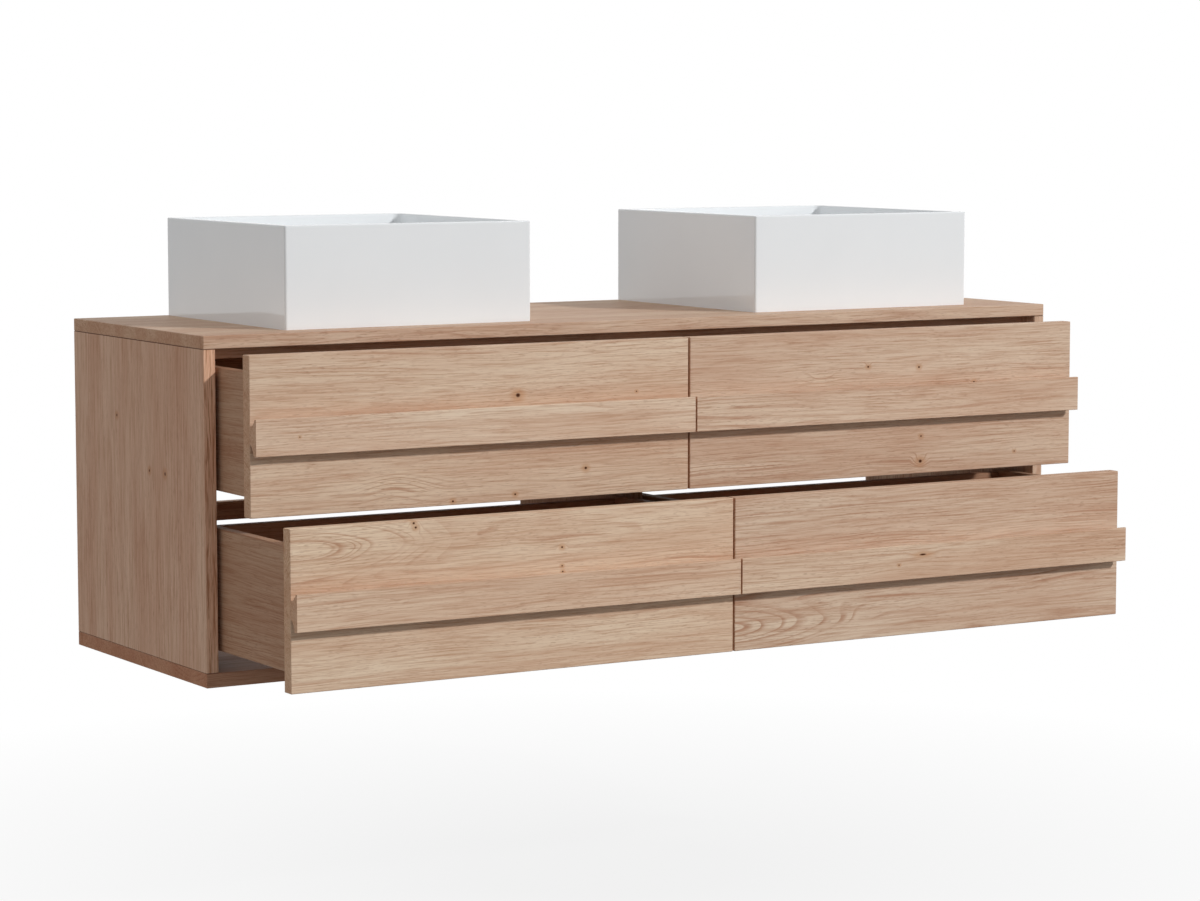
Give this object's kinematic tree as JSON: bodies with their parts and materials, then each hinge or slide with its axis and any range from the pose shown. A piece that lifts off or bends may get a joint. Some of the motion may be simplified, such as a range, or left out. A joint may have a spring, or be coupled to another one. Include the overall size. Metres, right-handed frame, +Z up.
{
  "type": "wall-hung double vessel sink vanity",
  "caption": "Wall-hung oak washstand with square ceramic vessel basins on top and sliding drawers with grooved full-width handle strips.",
  "frame": {"origin": "on the wall plane, at the middle of the upper back rail's back face", "axes": "+X to the right along the cabinet, +Y into the wall, +Z up"},
  "size_m": [1.45, 0.69, 0.632],
  "materials": {
    "cabinet_oak": "oiled oak, fine grain with small knots",
    "drawer_box_oak": "oiled oak",
    "dowel_beech": "plain turned beech",
    "basin_ceramic": "glossy white glaze",
    "chrome_waste": "polished chrome plate",
    "waste_brass": "turned brass",
    "runner_steel": "zinc plated rolled steel",
    "seal_rubber": "black rubber"
  },
  "bodies": {
    "root": {"bottom_panel": "cabinet_oak", "centre_partition": "cabinet_oak", "front_top_rail": "cabinet_oak", "joint_dowels": "dowel_beech", "left_basin": "basin_ceramic", "left_side_panel": "cabinet_oak", "left_waste_body": "chrome_waste", "mid_back_rail": "cabinet_oak", "right_basin": "basin_ceramic", "right_side_panel": "cabinet_oak", "right_waste_body": "chrome_waste", "runner_cabinet_members": "runner_steel", "top_panel": "cabinet_oak", "upper_back_rail": "cabinet_oak", "waste_gaskets": "seal_rubber", "waste_locknuts": "waste_brass"},
    "upper_left_drawer": {"upper_left_drawer_base": "drawer_box_oak", "upper_left_drawer_cutout_cross_wall": "drawer_box_oak", "upper_left_drawer_cutout_side_walls": "drawer_box_oak", "upper_left_drawer_front": "cabinet_oak", "upper_left_drawer_handle_strip": "cabinet_oak", "upper_left_drawer_left_back": "drawer_box_oak", "upper_left_drawer_left_side": "drawer_box_oak", "upper_left_drawer_right_back": "drawer_box_oak", "upper_left_drawer_right_side": "drawer_box_oak", "upper_left_drawer_runner_carriers": "runner_steel"},
    "upper_left_drawer_runners": {"upper_left_drawer_runner_middles": "runner_steel"},
    "upper_right_drawer": {"upper_right_drawer_base": "drawer_box_oak", "upper_right_drawer_cutout_cross_wall": "drawer_box_oak", "upper_right_drawer_cutout_side_walls": "drawer_box_oak", "upper_right_drawer_front": "cabinet_oak", "upper_right_drawer_handle_strip": "cabinet_oak", "upper_right_drawer_left_back": "drawer_box_oak", "upper_right_drawer_left_side": "drawer_box_oak", "upper_right_drawer_right_back": "drawer_box_oak", "upper_right_drawer_right_side": "drawer_box_oak", "upper_right_drawer_runner_carriers": "runner_steel"},
    "upper_right_drawer_runners": {"upper_right_drawer_runner_middles": "runner_steel"},
    "lower_left_drawer": {"lower_left_drawer_back": "drawer_box_oak", "lower_left_drawer_base": "drawer_box_oak", "lower_left_drawer_front": "cabinet_oak", "lower_left_drawer_handle_strip": "cabinet_oak", "lower_left_drawer_left_side": "drawer_box_oak", "lower_left_drawer_right_side": "drawer_box_oak", "lower_left_drawer_runner_carriers": "runner_steel"},
    "lower_left_drawer_runners": {"lower_left_drawer_runner_middles": "runner_steel"},
    "lower_right_drawer": {"lower_right_drawer_back": "drawer_box_oak", "lower_right_drawer_base": "drawer_box_oak", "lower_right_drawer_front": "cabinet_oak", "lower_right_drawer_handle_strip": "cabinet_oak", "lower_right_drawer_left_side": "drawer_box_oak", "lower_right_drawer_right_side": "drawer_box_oak", "lower_right_drawer_runner_carriers": "runner_steel"},
    "lower_right_drawer_runners": {"lower_right_drawer_runner_middles": "runner_steel"},
    "left_plug": {"left_plug_seal": "seal_rubber", "left_waste_plug": "chrome_waste"},
    "right_plug": {"right_plug_seal": "seal_rubber", "right_waste_plug": "chrome_waste"}
  },
  "joints": [
    {"name": "upper_left_drawer_slide", "type": "slide", "parent": "root", "child": "upper_left_drawer", "axis": [0, -1, 0], "range_m": [-0.096, 0.144]},
    {"name": "upper_left_drawer_runner_slide", "type": "slide", "parent": "root", "child": "upper_left_drawer_runners", "axis": [0, -1, 0], "range_m": [-0.048, 0.072]},
    {"name": "upper_right_drawer_slide", "type": "slide", "parent": "root", "child": "upper_right_drawer", "axis": [0, -1, 0], "range_m": [-0.096, 0.144]},
    {"name": "upper_right_drawer_runner_slide", "type": "slide", "parent": "root", "child": "upper_right_drawer_runners", "axis": [0, -1, 0], "range_m": [-0.048, 0.072]},
    {"name": "lower_left_drawer_slide", "type": "slide", "parent": "root", "child": "lower_left_drawer", "axis": [0, -1, 0], "range_m": [-0.216, 0.024]},
    {"name": "lower_left_drawer_runner_slide", "type": "slide", "parent": "root", "child": "lower_left_drawer_runners", "axis": [0, -1, 0], "range_m": [-0.108, 0.012]},
    {"name": "lower_right_drawer_slide", "type": "slide", "parent": "root", "child": "lower_right_drawer", "axis": [0, -1, 0], "range_m": [-0.216, 0.024]},
    {"name": "lower_right_drawer_runner_slide", "type": "slide", "parent": "root", "child": "lower_right_drawer_runners", "axis": [0, -1, 0], "range_m": [-0.108, 0.012]},
    {"name": "left_plug_push", "type": "slide", "parent": "root", "child": "left_plug", "axis": [0, 0, 1], "range_m": [-0.008, 0], "stiffness_N_per_m": 400, "springref_m": 0.012},
    {"name": "right_plug_push", "type": "slide", "parent": "root", "child": "right_plug", "axis": [0, 0, 1], "range_m": [-0.008, 0], "stiffness_N_per_m": 400, "springref_m": 0.012}
  ],
  "couplings": [
    {"joint": "upper_left_drawer_runner_slide", "follows": "upper_left_drawer_slide", "ratio": 0.5},
    {"joint": "upper_right_drawer_runner_slide", "follows": "upper_right_drawer_slide", "ratio": 0.5},
    {"joint": "lower_left_drawer_runner_slide", "follows": "lower_left_drawer_slide", "ratio": 0.5},
    {"joint": "lower_right_drawer_runner_slide", "follows": "lower_right_drawer_slide", "ratio": 0.5}
  ]
}
